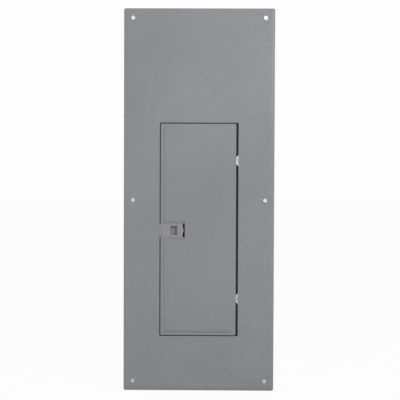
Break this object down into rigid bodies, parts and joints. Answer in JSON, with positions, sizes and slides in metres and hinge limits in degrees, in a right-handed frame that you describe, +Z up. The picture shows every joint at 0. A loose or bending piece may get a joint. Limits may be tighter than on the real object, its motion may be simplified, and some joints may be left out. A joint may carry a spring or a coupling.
{
  "type": "residential load center",
  "caption": "Tall wall-mounted steel breaker panel with a flat screwed cover, a hinged door with a slide latch, a dead front, bus bars, a main breaker and branch breakers.",
  "frame": {"origin": "centre of the box's back face, on the wall", "axes": "+Z up, the cover and door face -Y, +X to the viewer's right"},
  "size_m": [0.3874, 0.0998, 0.9842],
  "materials": {
    "painted_steel": "baked grey enamel, satin",
    "galvanized_steel": "galvanized, spangled",
    "zinc_plate": "bright zinc plate",
    "spring_steel": "bright wire",
    "tin_plated_copper": "tin plate",
    "aluminium": "extruded",
    "green_screw": "dyed green",
    "grey_plastic": "moulded, fine texture",
    "black_plastic": "moulded phenolic, satin",
    "handle_plastic": "moulded, satin",
    "white_plastic": "moulded, satin",
    "card": "printed card"
  },
  "bodies": {
    "root": {"enclosure_box": "galvanized_steel", "cover_trim": "painted_steel", "cover_screws": "zinc_plate", "hinge_leaves_cover": "zinc_plate", "hinge_pins": "zinc_plate", "dead_front": "painted_steel", "filler_plates": "black_plastic", "interior_pan": "galvanized_steel", "interior_screws": "zinc_plate", "bus_insulator": "white_plastic", "bus_bar_a": "tin_plated_copper", "bus_bar_b": "tin_plated_copper", "main_load_links": "tin_plated_copper", "bus_screws": "zinc_plate", "mounting_rail_left": "galvanized_steel", "mounting_rail_right": "galvanized_steel", "neutral_bar_left": "aluminium", "neutral_bar_right": "aluminium", "neutral_strap": "aluminium", "neutral_insulators": "white_plastic", "neutral_screws": "zinc_plate", "neutral_lug": "aluminium", "ground_bar": "aluminium", "ground_screws": "zinc_plate", "bonding_screw": "green_screw", "main_breaker_case": "black_plastic", "main_line_lugs": "aluminium", "lug_screws": "aluminium", "breaker_terminal_screws": "zinc_plate", "breaker_line_jaws": "tin_plated_copper", "breaker_l1_case": "black_plastic", "breaker_l2_case": "black_plastic", "breaker_l3_case": "black_plastic", "breaker_l4_case": "black_plastic", "breaker_l5_case": "black_plastic", "breaker_r1_case": "black_plastic", "breaker_r2_case": "black_plastic", "breaker_r3_case": "black_plastic", "breaker_r4_case": "black_plastic", "breaker_r5_case": "black_plastic", "breaker_r6_case": "black_plastic"},
    "door": {"door": "painted_steel", "directory_card": "card", "hinge_leaves_door": "zinc_plate", "latch_retainer": "zinc_plate", "latch_spring": "spring_steel"},
    "latch": {"latch_slide": "grey_plastic"},
    "main_handle": {"main_breaker_handle": "handle_plastic"},
    "handle_l1": {"breaker_l1_handle": "handle_plastic"},
    "handle_l2": {"breaker_l2_handle": "handle_plastic"},
    "handle_l3": {"breaker_l3_handle": "handle_plastic"},
    "handle_l4": {"breaker_l4_handle": "handle_plastic"},
    "handle_l5": {"breaker_l5_handle": "handle_plastic"},
    "handle_r1": {"breaker_r1_handle": "handle_plastic"},
    "handle_r2": {"breaker_r2_handle": "handle_plastic"},
    "handle_r3": {"breaker_r3_handle": "handle_plastic"},
    "handle_r4": {"breaker_r4_handle": "handle_plastic"},
    "handle_r5": {"breaker_r5_handle": "handle_plastic"},
    "handle_r6": {"breaker_r6_handle": "handle_plastic"}
  },
  "joints": [
    {"name": "door_hinge", "type": "hinge", "parent": "root", "child": "door", "pos_m": [0.0976, -0.0948, 0], "axis": [0, 0, 1], "range_deg": [0, 120]},
    {"name": "latch_slide", "type": "slide", "parent": "door", "child": "latch", "axis": [1, 0, 0], "range_m": [0, 0.0042], "stiffness_N_per_m": 120, "springref_m": -0.004, "deforming": ["latch_spring"]},
    {"name": "main_toggle", "type": "hinge", "parent": "root", "child": "main_handle", "pos_m": [0, -0.056, 0.119], "axis": [1, 0, 0], "range_deg": [0, 40]},
    {"name": "toggle_l1", "type": "hinge", "parent": "root", "child": "handle_l1", "pos_m": [-0.028, -0.062, 0.01595], "axis": [0, 0, -1], "range_deg": [0, 50]},
    {"name": "toggle_l2", "type": "hinge", "parent": "root", "child": "handle_l2", "pos_m": [-0.028, -0.062, -0.02215], "axis": [0, 0, -1], "range_deg": [0, 50]},
    {"name": "toggle_l3", "type": "hinge", "parent": "root", "child": "handle_l3", "pos_m": [-0.028, -0.062, -0.05072], "axis": [0, 0, -1], "range_deg": [0, 50]},
    {"name": "toggle_l4", "type": "hinge", "parent": "root", "child": "handle_l4", "pos_m": [-0.028, -0.062, -0.06978], "axis": [0, 0, -1], "range_deg": [0, 50]},
    {"name": "toggle_l5", "type": "hinge", "parent": "root", "child": "handle_l5", "pos_m": [-0.028, -0.062, -0.08883], "axis": [0, 0, -1], "range_deg": [0, 50]},
    {"name": "toggle_r1", "type": "hinge", "parent": "root", "child": "handle_r1", "pos_m": [0.028, -0.062, 0.01595], "axis": [0, 0, 1], "range_deg": [0, 50]},
    {"name": "toggle_r2", "type": "hinge", "parent": "root", "child": "handle_r2", "pos_m": [0.028, -0.062, -0.01263], "axis": [0, 0, 1], "range_deg": [0, 50]},
    {"name": "toggle_r3", "type": "hinge", "parent": "root", "child": "handle_r3", "pos_m": [0.028, -0.062, -0.03168], "axis": [0, 0, 1], "range_deg": [0, 50]},
    {"name": "toggle_r4", "type": "hinge", "parent": "root", "child": "handle_r4", "pos_m": [0.028, -0.062, -0.05072], "axis": [0, 0, 1], "range_deg": [0, 50]},
    {"name": "toggle_r5", "type": "hinge", "parent": "root", "child": "handle_r5", "pos_m": [0.028, -0.062, -0.06978], "axis": [0, 0, 1], "range_deg": [0, 50]},
    {"name": "toggle_r6", "type": "hinge", "parent": "root", "child": "handle_r6", "pos_m": [0.028, -0.062, -0.08883], "axis": [0, 0, 1], "range_deg": [0, 50]}
  ]
}
